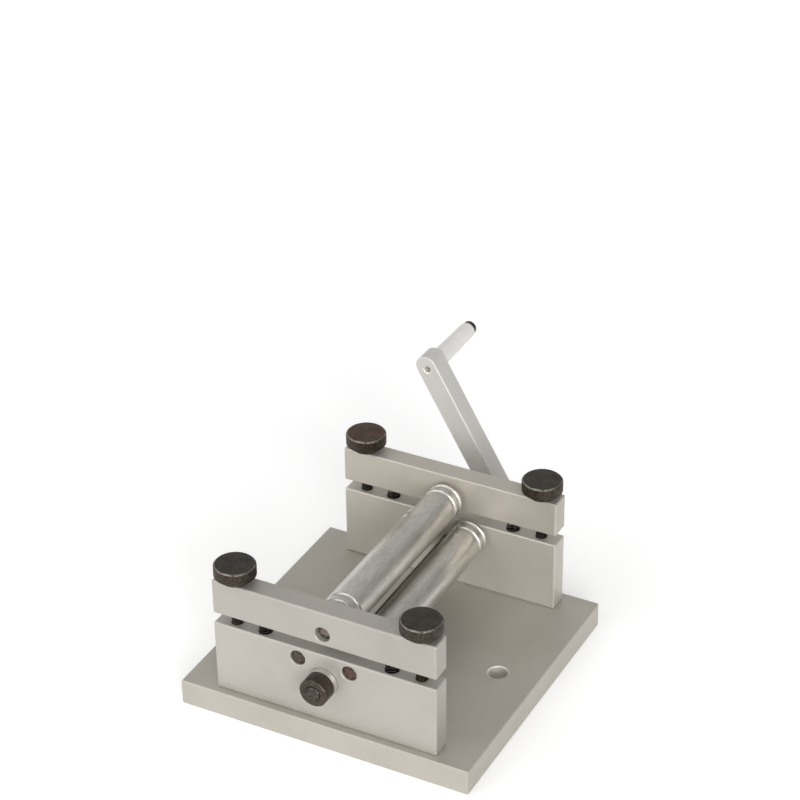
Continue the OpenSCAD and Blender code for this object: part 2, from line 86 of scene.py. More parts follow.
# Lamps
KEY_PLACE = (-0.55, -0.7, 0.6)
KEY_STRENGTH = 1.0
KEY_ANGLE = math.radians(60)
SIDE_PLACE = (0.62, -0.75, 0.36)
SIDE_STRENGTH = 2.1
SIDE_ANGLE = math.radians(30)
LAMP_AIM = Vector((0, 0, 0.05))

# Edges of the meshes made here are sharp above this angle
SHARP_ANGLE = math.radians(50)

# Thumb screws: steps are mesh rows in a knurl's pitch or a thread's turn, sides are mesh faces round
KNOB_HUB_D = 15.5 * MM
KNOB_HUB_H = 2.7 * MM
KNOB_BREAK = 0.9 * MM
KNOB_FILLET = 0.35 * MM
KNOB_LIP = KNOB_FILLET / 3
KNOB_TOP_RINGS = (0.8, 0.6, 0.4, 0.2)
KNOB_SEAT_GAP = 0.1 * MM
KNURL_TEETH = 72
KNURL_DEPTH = 0.2 * MM
KNURL_HELIX = math.radians(30)
KNURL_STEPS = 4
THREAD_D = 6.0 * MM
THREAD_PITCH = 1.0 * MM
THREAD_DEPTH = 0.55 * MM
THREAD_NECK = 1.5 * MM
THREAD_TIP_INSET = 0.3 * MM
THREAD_TIP_RISE = 0.2 * MM
THREAD_RUN_OUT = 0.1 * MM
THREAD_GAIN = 1.25
THREAD_ROOT_FLAT = 0.15
THREAD_STEPS = 8
THREAD_SIDES = 24

# Lift springs: steps are mesh rings in a turn, sides are mesh faces round the wire
SPRING_WIRE = 0.9 * MM
SPRING_TURNS = 8
SPRING_CLOSED_TURNS = 1
SPRING_CLOSED_RISE = 1.06 * SPRING_WIRE * SPRING_CLOSED_TURNS
SPRING_STEPS = 28
SPRING_SIDES = 10

# Aluminium by node: lines is the milling lines' axis, soft_r is the edges' rounding, and the edge strength
# is how much the edges are rubbed paler and given a painted highlight
PLATES = {
    "base_plate": {"name": "base_aluminium", "tint": (0.475, 0.45, 0.40), "lines": "Y",
                   "edge_rub_and_highlight": 0.2, "soft_r": 0.35 * MM, "metallic": 0.5},
    "front_lower_block": {"name": "front_block_aluminium", "tint": (0.455, 0.433, 0.392), "lines": "X",
                          "edge_rub_and_highlight": 0.5, "soft_r": 0.8 * MM, "metallic": 0.5},
    "front_upper_bar": {"name": "front_bar_aluminium", "tint": (0.435, 0.41, 0.37), "lines": "X",
                        "edge_rub_and_highlight": 0.5, "soft_r": 0.8 * MM, "metallic": 0.5},
    # The rear block's and rear bar's tints are lighter than the front ones: painted light against the shade
    # they sit in
    "rear_lower_block": {"name": "rear_block_aluminium", "tint": (0.55, 0.52, 0.465), "lines": "X",
                         "edge_rub_and_highlight": 0.08, "soft_r": 0.25 * MM, "metallic": 0.5},
    "rear_upper_bar": {"name": "rear_bar_aluminium", "tint": (0.508, 0.473, 0.415), "lines": "X",
                       "edge_rub_and_highlight": 0.08, "soft_r": 0.25 * MM, "metallic": 0.5},
    "crank_arm": {"name": "arm_aluminium", "tint": (0.585, 0.57, 0.54), "lines": "Z",
                  "edge_rub_and_highlight": 0.8, "soft_r": 0.7 * MM, "metallic": 0.3},
}
MILLING_STRETCH = 0.03
# Pale edge tint: rubbed edges, and on the plates also a painted edge highlight
EDGE_TINT = (0.86, 0.85, 0.83)
EDGE_BAND_PAST_ROUNDING = 0.05 * MM
# Bore walls brightened with painted light, and a painted highlight on the band at their rims
BORE_PAINTED_LIGHT_TINT = (0.70, 0.67, 0.61)
BORE_RIM_HIGHLIGHT_TINT = (0.92, 0.90, 0.86)
BORE_RIM = 0.45 * MM
BORE_BREAK = BORE_RIM / 4
BOLT_R = 2.0 * MM

# Bright steel
LATHE_STRETCH = (0.02, 1, 0.02)
ROLLER_TINTS = ((0.47, 0.45, 0.41), (0.63, 0.605, 0.555))
ROLLER_SCUFF_TINT = (0.37, 0.35, 0.31)
ROLLER_SPECK_TINT = (0.74, 0.72, 0.68)
GEAR_TINTS = ((0.44, 0.43, 0.41), (0.30, 0.285, 0.25))
GEAR_EDGE_TINT = (0.72, 0.71, 0.69)
WASHER_TINTS = ((0.47, 0.45, 0.415), (0.33, 0.31, 0.28))
SHAFT_TINT = (0.30, 0.27, 0.23)

# Blackened steel
AXLE_TINTS = {"upper": (0.14, 0.12, 0.10), "left": (0.065, 0.049, 0.036), "right": (0.10, 0.059, 0.047)}
# Painted shade at the rim of each recessed axle end, between these shares of its radius
AXLE_PAINTED_SHADE = (0.45, 0.78)
SHAFT_END_TINT = (0.06, 0.05, 0.038)
COLLAR_TINT = (0.041, 0.031, 0.022)
# Painted shade round the shaft end in the collar, this far out past the shaft, and the painted shade's tint
COLLAR_PAINTED_SHADE = 1.0 * MM
PAINTED_SHADE_TINT = (0.012, 0.010, 0.008)
OXIDE_RUB_TINT = (0.33, 0.29, 0.25)
OXIDE_SPECK_SHARE = 2.6
KNOB_BLACK = (0.042, 0.036, 0.027)
KNOB_BROWN = (0.072, 0.042, 0.028)
KNOB_SIDE = (0.046, 0.034, 0.025)
KNOB_THREAD = (0.019, 0.013, 0.009)
# Pale rim tint: rub and a painted highlight
KNOB_RIM_RUB_AND_HIGHLIGHT_TINT = (0.32, 0.285, 0.25)
SPRING_TINTS = ((0.014, 0.013, 0.012), (0.032, 0.029, 0.025))

# Crank grip and its bolt
GRIP_TINTS = ((0.74, 0.725, 0.70), (0.66, 0.64, 0.61))
GRIP_EDGE_TINT = (0.80, 0.79, 0.77)
BOLT_TINTS = ((0.010, 0.010, 0.010), (0.026, 0.025, 0.024))
BOLT_EDGE_TINT = (0.10, 0.095, 0.09)
BOLT_BARE_TINT = (0.42, 0.38, 0.34)

# The band that most of a noise's values fall in, and the samples that a rounded normal takes
NOISE_LOW, NOISE_HIGH = 0.3, 0.7
BEVEL_SAMPLES = 6


def rgb(tint, share=1.0):
    """A tint, times a share, as the colour of a socket."""
    return tuple(share * part for part in tint) + (1.0,)


def stretch(axis, share):
    """Scales for coordinates: the share along one axis and 1 along the others."""
    return tuple(share if name == axis else 1.0 for name in "XYZ")


class Tree:
    """A node tree, with short calls that add nodes and link them."""

    def __init__(self, tree):
        self.tree = tree

    def add(self, kind, links=(), **settings):
        """A new node; links holds (input, value or output socket) pairs, settings are its own properties."""
        node = self.tree.nodes.new("ShaderNode" + kind)
        for key, value in settings.items():
            setattr(node, key, value)
        for key, value in links:
            self.put(node.inputs[key], value)
        return node

    def put(self, socket, value):
        """Links an output socket to an input, or sets the input to a plain value."""
        if isinstance(value, bpy.types.NodeSocket):
            self.tree.links.new(value, socket)
        else:
            socket.default_value = value

    def math(self, operation, a, b=0.0):
        return self.add("Math", [(0, a), (1, b)], operation=operation).outputs[0]

    def dot(self, a, b):
        return self.add("VectorMath", [(0, a), (1, b)], operation="DOT_PRODUCT").outputs["Value"]

    def part(self, vector, axis):
        """One of a vector's three numbers."""
        return self.add("SeparateXYZ", [(0, vector)]).outputs[axis]

    def span(self, value, low=NOISE_LOW, high=NOISE_HIGH, to_low=0.0, to_high=1.0):
        """Value from low to high mapped on to_low to to_high, held at its ends."""
        links = [("Value", value), ("From Min", low), ("From Max", high),
                 ("To Min", to_low), ("To Max", to_high)]
        return self.add("MapRange", links).outputs[0]

    def mix(self, factor, a, b):
        links = [("Fac", factor), ("Color1", a), ("Color2", b)]
        return self.add("MixRGB", links).outputs[0]


class Shader(Tree):
    """One material with its node tree."""

    def __init__(self, name):
        self.material = bpy.data.materials.new(name)
        self.material.use_nodes = True
        super().__init__(self.material.node_tree)
        self.surface = self.tree.nodes["Principled BSDF"]

    def coords(self, scales=(1, 1, 1), offset=(0, 0, 0)):
        """Object coordinates from an offset, times a scale along each axis."""
        place = self.add("TexCoord").outputs["Object"]
        moved = self.add("VectorMath", [(0, place), (1, offset)], operation="SUBTRACT")
        return self.add("VectorMath", [(0, moved.outputs[0]), (1, scales)], operation="MULTIPLY").outputs[0]

    def radius(self, axis, point=(0, 0, 0)):
        """The distance from the line along an axis through a point."""
        across = self.coords(stretch(axis, 0.0), point)
        return self.add("VectorMath", [(0, across)], operation="LENGTH").outputs["Value"]

    def noise(self, vector, scale, detail=3.0, roughness=0.55):
        links = [("Vector", vector), ("Scale", scale), ("Detail", detail), ("Roughness", roughness)]
        return self.add("TexNoise", links).outputs["Fac"]

    def turned_rings(self, radius):
        """Noise that is the same all round, for the marks of a lathe on an end face."""
        place = self.add("CombineXYZ", [(0, radius)]).outputs[0]
        return self.noise(place, scale=5200, detail=2, roughness=0.6)

    def two_tones(self, factor, tint):
        """A darker to a lighter shade of the tint."""
        return self.mix(factor, rgb(tint, 0.5), rgb(tint, 1.5))

    def rounded_normal(self, radius):
        return self.add("Bevel", [("Radius", radius)], samples=BEVEL_SAMPLES).outputs[0]

    def edges(self, radius):
        """1 along sharp outer edges and 0 on flat faces, from how far a rounded normal leans."""
        true = self.add("NewGeometry").outputs["Normal"]
        lean = self.dot(self.rounded_normal(radius), true)
        return self.span(self.math("SUBTRACT", 1.0, lean), 0.02, 0.22)

    def bump(self, height, distance, strength=0.5, normal=None):
        links = [("Height", height), ("Distance", distance), ("Strength", strength)]
        if normal is not None:
            links.append(("Normal", normal))
        return self.add("Bump", links).outputs[0]

    def around(self, axis):
        """The tangent round an axis, along which a turned surface's gloss is drawn out."""
        return self.add("Tangent", direction_type="RADIAL", axis=axis).outputs[0]

    def finish(self, **sockets):
        """Sets or links the surface's sockets, named with _ for a space, and returns the material."""
        for key, value in sockets.items():
            self.put(self.surface.inputs[key.replace("_", " ")], value)
        return self.material


def drill(s, tone, axis, centre, radius):
    """The tone with painted light on the wall and a painted highlight on the rim at a bore along an axis."""
    away = s.radius(axis, centre)
    # Painted light on the bore wall and a painted highlight on its rim
    bare = s.mix(s.span(away, radius, radius + BORE_BREAK), rgb(BORE_PAINTED_LIGHT_TINT), rgb(BORE_RIM_HIGHLIGHT_TINT))
    return s.mix(s.math("LESS_THAN", away, radius + BORE_RIM), tone, bare)


def aluminium(name, tint, lines, edge_rub_and_highlight, soft_r, metallic, bores=()):
    """Satin plate: faint clouds, fine blasted grain, traces of milling lines, rubbed edges with a painted
    highlight, bores with painted light on their walls and a painted highlight on their rims.
    """
    s = Shader(name)
    plain = s.coords()
    cloud = s.noise(plain, scale=22)
    mottle = s.noise(plain, scale=240, detail=4, roughness=0.6)
    tone = s.mix(s.span(cloud), rgb(tint, 0.91), rgb(tint, 1.03))
    tone = s.mix(s.span(mottle, 0.35, 0.75, to_high=0.35), tone, rgb(tint, 1.1))
    # Paler edge band: rubbed edges with a painted highlight along them, strongest on the front block, front
    # bar and arm
    rub = s.span(s.noise(plain, scale=320), 0.3, 0.6, to_low=0.4 * edge_rub_and_highlight, to_high=edge_rub_and_highlight)
    worn = s.math("MULTIPLY", s.edges(soft_r + EDGE_BAND_PAST_ROUNDING), rub)
    tone = s.mix(worn, tone, rgb(EDGE_TINT))
    for bore in bores:
        tone = drill(s, tone, *bore)
    rough = s.span(mottle, to_low=0.46, to_high=0.54)
    rough = s.math("SUBTRACT", rough, s.math("MULTIPLY", worn, 0.25))
    milled = s.noise(s.coords(stretch(lines, MILLING_STRETCH)), scale=1500, detail=2, roughness=0.5)
    grain = s.noise(plain, scale=5200, detail=2, roughness=0.5)
    lined = s.bump(milled, distance=0.004 * MM, normal=s.rounded_normal(soft_r))
    normal = s.bump(grain, distance=0.008 * MM, normal=lined)
    shine = s.math("MAXIMUM", worn, metallic)
    return s.finish(Base_Color=tone, Metallic=shine, Roughness=rough, Normal=normal)


def roller_steel(name, point):
    """Turned roller steel along Y, dulled by use: short scuffs, specks, fine lathe rings, rub marks."""
    s = Shader(name)
    plain = s.coords(offset=point)
    scuffs = s.noise(s.coords(stretch("Y", 0.16), point), scale=800, detail=5, roughness=0.65)
    patches = s.noise(s.coords(stretch("Y", 0.4), point), scale=120, detail=4, roughness=0.6)
    specks = s.noise(plain, scale=1300, roughness=0.7)
    tone = s.mix(s.span(patches), *map(rgb, ROLLER_TINTS))
    tone = s.mix(s.span(scuffs, 0.46, 0.7, to_high=0.5), tone, rgb(ROLLER_SCUFF_TINT))
    tone = s.mix(s.span(specks, 0.5, 0.75, to_high=0.5), tone, rgb(ROLLER_SPECK_TINT))
    worn = s.math("MULTIPLY", s.edges(0.35 * MM), 0.3)
    tone = s.mix(worn, tone, rgb(EDGE_TINT))
    rough = s.span(patches, 0.25, 0.75, to_low=0.27, to_high=0.37)
    rough = s.math("ADD", rough, s.span(scuffs, 0.45, 0.75, to_high=0.1))
    rings = s.noise(s.coords(LATHE_STRETCH, point), scale=5200, detail=2, roughness=0.5)
    ringed = s.bump(rings, distance=0.0015 * MM, normal=s.rounded_normal(0.2 * MM))
    normal = s.bump(s.noise(plain, scale=2600, detail=2), distance=0.0015 * MM, normal=ringed)
    return s.finish(Base_Color=tone, Metallic=0.85, Roughness=rough, Normal=normal,
                    Anisotropic=0.5, Tangent=s.around("Y"))


def gear_steel(name):
    """Cut gear steel under a patchy film of oil, bright on the edges of its teeth."""
    s = Shader(name)
    film = s.noise(s.coords(), scale=260, detail=4, roughness=0.6)
    tone = s.mix(s.span(film, 0.35, 0.7), *map(rgb, GEAR_TINTS))
    worn = s.math("MULTIPLY", s.edges(0.3 * MM), 0.8)
    tone = s.mix(worn, tone, rgb(GEAR_EDGE_TINT))
    rough = s.span(film, to_low=0.26, to_high=0.42)
    hobbed = s.noise(s.coords(stretch("Y", 0.04)), scale=2400, detail=2)
    normal = s.bump(hobbed, distance=0.006 * MM, strength=0.6, normal=s.rounded_normal(0.15 * MM))
    return s.finish(Base_Color=tone, Metallic=1.0, Roughness=rough, Normal=normal)


def washer_steel(name):
    """Satin washer steel, faintly clouded."""
    s = Shader(name)
    plain = s.coords()
    film = s.noise(plain, scale=500, detail=4, roughness=0.6)
    tone = s.mix(s.span(film, 0.35, 0.7, to_high=0.3), *map(rgb, WASHER_TINTS))
    rough = s.span(film, to_low=0.3, to_high=0.42)
    grain = s.noise(plain, scale=3000, detail=2)
    normal = s.bump(grain, distance=0.004 * MM, normal=s.rounded_normal(0.2 * MM))
    return s.finish(Base_Color=tone, Metallic=0.6, Roughness=rough, Normal=normal)


def drive_steel(name, point, bare_from):
    """Drive shaft along Y: oiled bare steel, and grimy and flecked in front of a place along Y."""
    s = Shader(name)
    plain = s.coords(offset=point)
    film = s.noise(s.coords(stretch("Y", 0.3), point), scale=330, detail=4, roughness=0.65)
    flecks = s.span(s.noise(plain, scale=800, roughness=0.6), 0.42, 0.6)
    bare = s.two_tones(s.span(film, 0.3, 0.72), SHAFT_TINT)
    front = s.math("LESS_THAN", s.part(plain, "Y"), bare_from)
    tone = s.mix(front, bare, s.two_tones(flecks, SHAFT_END_TINT))
    rough = s.span(film, to_low=0.34, to_high=0.46)
    rings = s.noise(s.coords(LATHE_STRETCH, point), scale=4200, detail=2, roughness=0.5)
    normal = s.bump(rings, distance=0.003 * MM, normal=s.rounded_normal(0.25 * MM))
    return s.finish(Base_Color=tone, Metallic=0.6, Roughness=rough, Normal=normal)


def black_oxide(name, point, tint, painted_shade=None):
    """Blackened steel, turned along Y and rubbed paler on its edges.

    The last argument holds the radii between which a painted shade sets in, darkest at the second radius:
    shade round a recessed axle end in its bore, or round the shaft end in the collar.
    """
    s = Shader(name)
    plain = s.coords(offset=point)
    cloud = s.noise(plain, scale=330, detail=4, roughness=0.65)
    radius = s.radius("Y", point)
    tone = s.two_tones(s.span(cloud, 0.3, 0.72), tint)
    # Painted shade: a patchy dark ring where the end sits in shade, in its bore or round the shaft end
    if painted_shade:
        share = s.span(cloud, 0.25, 0.6, to_low=0.97, to_high=0.8)
        tone = s.mix(s.math("MULTIPLY", s.span(radius, *painted_shade), share), tone, rgb(PAINTED_SHADE_TINT))
    rub = s.span(s.noise(plain, scale=420), 0.35, 0.65, to_low=0.1, to_high=0.4)
    tone = s.mix(s.math("MULTIPLY", s.edges(0.45 * MM), rub), tone, rgb(OXIDE_RUB_TINT))
    specks = s.span(s.noise(plain, scale=800, roughness=0.6), 0.47, 0.62, to_high=0.5)
    tone = s.mix(specks, tone, rgb(tint, OXIDE_SPECK_SHARE))
    rough = s.span(cloud, to_low=0.34, to_high=0.47)
    turned = s.bump(s.turned_rings(radius), distance=0.004 * MM, strength=0.6,
                    normal=s.rounded_normal(0.25 * MM))
    normal = s.bump(s.noise(plain, scale=3800, detail=2), distance=0.004 * MM, normal=turned)
    return s.finish(Base_Color=tone, Metallic=0.55, Roughness=rough, Normal=normal,
                    Anisotropic=0.55, Tangent=s.around("Y"))


def knob_steel(name, tint, head_r):
    """Blackened thumb screw about Z: turned top, rubbed rim with a painted highlight, knurl with paler
    crests, dark thread below.
    """
    s = Shader(name)
    plain = s.coords()
    cloud = s.noise(plain, scale=260, detail=5, roughness=0.65)
    facing = s.part(s.add("NewGeometry").outputs["Normal"], "Z")
    radius = s.radius("Z")
    shade = s.span(cloud, 0.3, 0.72)
    crest = s.span(radius, head_r - KNURL_DEPTH, head_r, to_high=0.5)
    rust = s.span(s.noise(plain, scale=620, detail=4, roughness=0.7), 0.38, 0.66, to_high=0.9)
    side = s.mix(s.math("MAXIMUM", crest, rust), rgb(KNOB_SIDE, 0.3), rgb(KNOB_SIDE, 2.0))
    tone = s.mix(s.span(facing, 0.6, 0.95), side, s.two_tones(shade, tint))
    # Rim chamfer rubbed paler, with a painted highlight on it
    rim = s.math("MULTIPLY", s.span(facing, 0.45, 0.65), s.span(facing, 0.97, 0.85))
    rub = s.span(s.noise(plain, scale=300, detail=4, roughness=0.65), 0.38, 0.62, to_low=0.05, to_high=0.9)
    worn = s.math("MULTIPLY", rim, rub)
    tone = s.mix(worn, tone, rgb(KNOB_RIM_RUB_AND_HIGHLIGHT_TINT))
    thread = s.math("LESS_THAN", s.part(plain, "Z"), 0.0)
    tone = s.mix(thread, tone, s.two_tones(shade, KNOB_THREAD))
    rough = s.span(cloud, to_low=0.36, to_high=0.5)
    rough = s.math("SUBTRACT", rough, s.math("MULTIPLY", worn, 0.12))
    turned = s.bump(s.turned_rings(radius), distance=0.004 * MM, strength=0.6)
    normal = s.bump(s.noise(plain, scale=3800, detail=2), distance=0.006 * MM, normal=turned)
    return s.finish(Base_Color=tone, Metallic=0.6, Roughness=rough, Normal=normal,
                    Anisotropic=0.6, Tangent=s.around("Z"))


def spring_steel(name):
    """Drawn spring wire, dark and oily."""
    s = Shader(name)
    plain = s.coords()
    film = s.noise(plain, scale=700)
    tone = s.mix(s.span(film, 0.35, 0.7), *map(rgb, SPRING_TINTS))
    rough = s.span(film, to_low=0.4, to_high=0.5)
    normal = s.bump(s.noise(plain, scale=5200, detail=2), distance=0.004 * MM)
    return s.finish(Base_Color=tone, Metallic=0.8, Roughness=rough, Normal=normal)


def grip_plastic(name, point):
    """Pale grip turned along Y: faint lathe rings, a little handling grey."""
    s = Shader(name)
    hand = s.noise(s.coords(offset=point), scale=120, detail=4, roughness=0.6)
    tone = s.mix(s.span(hand, 0.35, 0.75), *map(rgb, GRIP_TINTS))
    worn = s.math("MULTIPLY", s.edges(0.4 * MM), 0.5)
    tone = s.mix(worn, tone, rgb(GRIP_EDGE_TINT))
    rough = s.span(hand, to_low=0.34, to_high=0.46)
    rings = s.noise(s.coords(LATHE_STRETCH, point), scale=3600, detail=2, roughness=0.5)
    normal = s.bump(rings, distance=0.006 * MM, normal=s.rounded_normal(0.3 * MM))
    return s.finish(Base_Color=tone, Roughness=rough, Normal=normal)


def bolt_black(name, bare_below):
    """Bolt with a black coated head, and bare steel at its tip below a place along Y."""
    s = Shader(name)
    plain = s.coords()
    dust = s.noise(plain, scale=380, detail=4, roughness=0.6)
    tone = s.mix(s.span(dust, 0.4, 0.75), *map(rgb, BOLT_TINTS))
    worn = s.math("MULTIPLY", s.edges(0.3 * MM), 0.4)
    tone = s.mix(worn, tone, rgb(BOLT_EDGE_TINT))
    bare = s.math("LESS_THAN", s.part(plain, "Y"), bare_below)
    tone = s.mix(bare, tone, rgb(BOLT_BARE_TINT))
    rough = s.span(dust, to_low=0.36, to_high=0.5)
    grain = s.noise(plain, scale=3000, detail=2)
    normal = s.bump(grain, distance=0.004 * MM, normal=s.rounded_normal(0.25 * MM))
    return s.finish(Base_Color=tone, Metallic=bare, Roughness=rough, Normal=normal)


def dress(material, *names):
    """Gives CAD nodes a material."""
    for name in names:
        for slot in nodes[name].material_slots:
            slot.material = material


def link(name, mesh, material):
    """A new object of the given mesh, in the scene."""
    mesh.materials.append(material)
    piece = bpy.data.objects.new(name, mesh)
    scene.collection.objects.link(piece)
    return piece


def lathe(bm, rows, segments):
    """A closed turned shell about Z in bm, from (height, radius or radius by angle) rows going up."""
    rings = []
    for height, radius in rows:
        ring = []
        for i in range(segments):
            angle = 2 * math.pi * i / segments
            r = radius(angle) if callable(radius) else radius
            ring.append(bm.verts.new((r * math.cos(angle), r * math.sin(angle), height)))
        rings.append(ring)
    for low, high in zip(rings, rings[1:]):
        for i in range(segments):
            j = (i + 1) % segments
            bm.faces.new((low[i], low[j], high[j], high[i]))
    for ring, height, flip in ((rings[0], rows[0][0], True), (rings[-1], rows[-1][0], False)):
        middle = bm.verts.new((0, 0, height))
        for i in range(segments):
            j = (i + 1) % segments
            bm.faces.new((ring[j], ring[i], middle) if flip else (ring[i], ring[j], middle))


def mesh_from(bm, name):
    """Finishes bm as a smooth-shaded mesh with its sharp edges kept."""
    mesh = bpy.data.meshes.new(name)
    bm.to_mesh(mesh)
    bm.free()
    mesh.shade_smooth()
    mesh.set_sharp_from_angle(angle=SHARP_ANGLE)
    return mesh


def wave(x):
    """Triangle wave: 0 at whole numbers, 1 half way between."""
    return abs(2 * (x - math.floor(x + 0.5)))


def head_rows(head_r, head_top):
    """Rows of a knurled head on its hub, from the bar's top at 0."""
    hub_r = KNOB_HUB_D / 2
    pitch = 2 * math.pi * head_r / KNURL_TEETH
    axial = pitch / math.tan(KNURL_HELIX)
    band_low, band_high = KNOB_HUB_H + KNOB_BREAK, head_top - KNOB_BREAK
    band_rows = KNURL_STEPS * round((band_high - band_low) / axial)

    def knurled(height):
        along = (height - band_low) / axial

        def radius(angle):
            around = KNURL_TEETH * angle / (2 * math.pi)
            return head_r - KNURL_DEPTH * max(wave(around + along), wave(around - along))
        return radius

    rows = [(0, hub_r - KNOB_FILLET), (KNOB_FILLET, hub_r), (KNOB_HUB_H - KNOB_FILLET, hub_r),
            (KNOB_HUB_H, hub_r + KNOB_FILLET), (KNOB_HUB_H, head_r - KNOB_BREAK - KNOB_FILLET),
            (KNOB_HUB_H + KNOB_LIP, head_r - KNOB_BREAK)]
    for i in range(band_rows + 1):
        height = band_low + (band_high - band_low) * i / band_rows
        rows.append((height, knurled(height)))
    rows += [(head_top - KNOB_LIP, head_r - KNOB_BREAK), (head_top, head_r - KNOB_BREAK - KNOB_FILLET)]
    return rows + [(head_top, head_r * share) for share in KNOB_TOP_RINGS]


def shank_rows(length):
    """Rows of a threaded shank below 0, with a plain neck that reaches into the hub."""
    crest, root = THREAD_D / 2, THREAD_D / 2 - THREAD_DEPTH
    threaded_l = length - THREAD_NECK

    def threaded(height):
        taper = min(1.0, (height + length) / THREAD_PITCH)

        def radius(angle):
            flank = wave(height / THREAD_PITCH - angle / (2 * math.pi))
            form = min(1.0, max(0.0, THREAD_GAIN * flank - THREAD_ROOT_FLAT))
            return root + (crest - root) * form * taper
        return radius

    count = round(threaded_l / THREAD_PITCH * THREAD_STEPS)
    rows = [(-length, root - THREAD_TIP_INSET)]
    for i in range(count + 1):
        height = -length + THREAD_TIP_RISE + threaded_l * i / count
        rows.append((height, threaded(height)))
    neck_low = THREAD_TIP_RISE + THREAD_RUN_OUT - THREAD_NECK
    return rows + [(neck_low, root), (KNOB_FILLET, root)]


def thumb_screw_mesh(head_d, head_top, shank_l):
    """Knurled head on a hub, with a threaded shank below, about Z from the bar's top at 0."""
    bm = bmesh.new()
    lathe(bm, head_rows(head_d / 2, head_top), KNURL_STEPS * KNURL_TEETH)
    lathe(bm, shank_rows(shank_l), THREAD_SIDES)
    return mesh_from(bm, "thumb_screw")


def spring_mesh(name, base, outer_d, length):
    """Compression spring standing on base along Z, with closed ends, as one round wire."""
    bm = bmesh.new()
    coil_r = (outer_d - SPRING_WIRE) / 2
    total = SPRING_TURNS + 2 * SPRING_CLOSED_TURNS
    rise = length - SPRING_WIRE
    active_rise = rise - 2 * SPRING_CLOSED_RISE

    def height(turn):
        if turn <= SPRING_CLOSED_TURNS:
            return SPRING_CLOSED_RISE * turn / SPRING_CLOSED_TURNS
        if turn >= total - SPRING_CLOSED_TURNS:
            return rise - SPRING_CLOSED_RISE * (total - turn) / SPRING_CLOSED_TURNS
        return SPRING_CLOSED_RISE + active_rise * (turn - SPRING_CLOSED_TURNS) / SPRING_TURNS

    rings = []
    step = 0.5 / SPRING_STEPS
    for i in range(total * SPRING_STEPS + 1):
        turn = i / SPRING_STEPS
        angle = 2 * math.pi * turn
        slope = (height(min(turn + step, total)) - height(max(turn - step, 0))) / (2 * step)
        out = Vector((math.cos(angle), math.sin(angle), 0))
        sweep = 2 * math.pi * coil_r
        along = Vector((-math.sin(angle) * sweep, math.cos(angle) * sweep, slope))
        up = along.normalized().cross(out)
        centre = base + out * coil_r + Vector((0, 0, SPRING_WIRE / 2 + height(turn)))
        ring = []
        for k in range(SPRING_SIDES):
            a = 2 * math.pi * k / SPRING_SIDES
            ring.append(bm.verts.new(centre + SPRING_WIRE / 2 * (math.cos(a) * out + math.sin(a) * up)))
        rings.append(ring)
    for low, high in zip(rings, rings[1:]):
        for k in range(SPRING_SIDES):
            j = (k + 1) % SPRING_SIDES
            bm.faces.new((low[k], high[k], high[j], low[j]))
    bm.faces.new(rings[0])
    bm.faces.new(rings[-1][::-1])
    return mesh_from(bm, name)


def make_camera():
    """A camera that looks at its target from the photograph's side, height and roll."""
    back = Vector((math.sin(CAMERA_AZIMUTH) * math.cos(CAMERA_ELEVATION),
                   -math.cos(CAMERA_AZIMUTH) * math.cos(CAMERA_ELEVATION), math.sin(CAMERA_ELEVATION)))
    level = Vector((math.cos(CAMERA_AZIMUTH), math.sin(CAMERA_AZIMUTH), 0))
    up = back.cross(level)
    right = math.cos(CAMERA_ROLL) * level + math.sin(CAMERA_ROLL) * up
    top = math.cos(CAMERA_ROLL) * up - math.sin(CAMERA_ROLL) * level
    camera = bpy.data.cameras.new("camera")
    camera.lens = CAMERA_LENS
    camera.sensor_width = CAMERA_SENSOR
    camera.sensor_fit = "HORIZONTAL"
    holder = bpy.data.objects.new("camera", camera)
    scene.collection.objects.link(holder)
    turn = Matrix((right, top, back)).transposed().to_4x4()
    holder.matrix_world = Matrix.Translation(CAMERA_TARGET + back * CAMERA_DISTANCE) @ turn
    scene.camera = holder


def make_world():
    """Pale surroundings that are brighter behind, greyer overhead and at the far right."""
    world = bpy.data.worlds.new("studio")
    world.use_nodes = True
    scene.world = world
    s = Tree(world.node_tree)
    direction = s.add("TexCoord").outputs["Generated"]
    sky = s.add("ValToRGB", [("Fac", s.part(direction, "Z"))])
    stops = sky.color_ramp.elements
    while len(stops) < len(SKY_STOPS):
        stops.new(0.5)
    for stop, (place, level) in zip(stops, SKY_STOPS):
        stop.position = place
        stop.color = rgb(WHITE, level)
    dimmed = s.span(s.dot(direction, SKY_DIM_SIDE), *SKY_DIM_SPAN, to_low=1.0, to_high=SKY_DIM_LEVEL)
    raised = s.span(s.dot(direction, SKY_BACK_SIDE), *SKY_BACK_SPAN, to_low=1.0, to_high=SKY_BACK_LEVEL)
    background = s.tree.nodes["Background"]
    s.put(background.inputs["Color"], sky.outputs["Color"])
    s.put(background.inputs["Strength"], s.math("MULTIPLY", dimmed, raised))


def make_floor():
    """Plain pale floor that keeps the shadow, and glows a little where it is seen or mirrored."""
    bm = bmesh.new()
    bmesh.ops.create_grid(bm, x_segments=1, y_segments=1, size=FLOOR_SIZE / 2)
    s = Shader("floor")
    rays = s.add("LightPath").outputs
    seen = s.math("MAXIMUM", rays["Is Camera Ray"], rays["Is Glossy Ray"])
    seen = s.math("MAXIMUM", seen, rays["Is Transmission Ray"])
    material = s.finish(Base_Color=rgb(FLOOR_TINT), Roughness=FLOOR_ROUGHNESS, Specular_IOR_Level=0.0,
                        Emission_Color=rgb(WHITE), Emission_Strength=s.math("MULTIPLY", seen, FLOOR_GLOW))
    floor = link("floor", mesh_from(bm, "floor"), material)


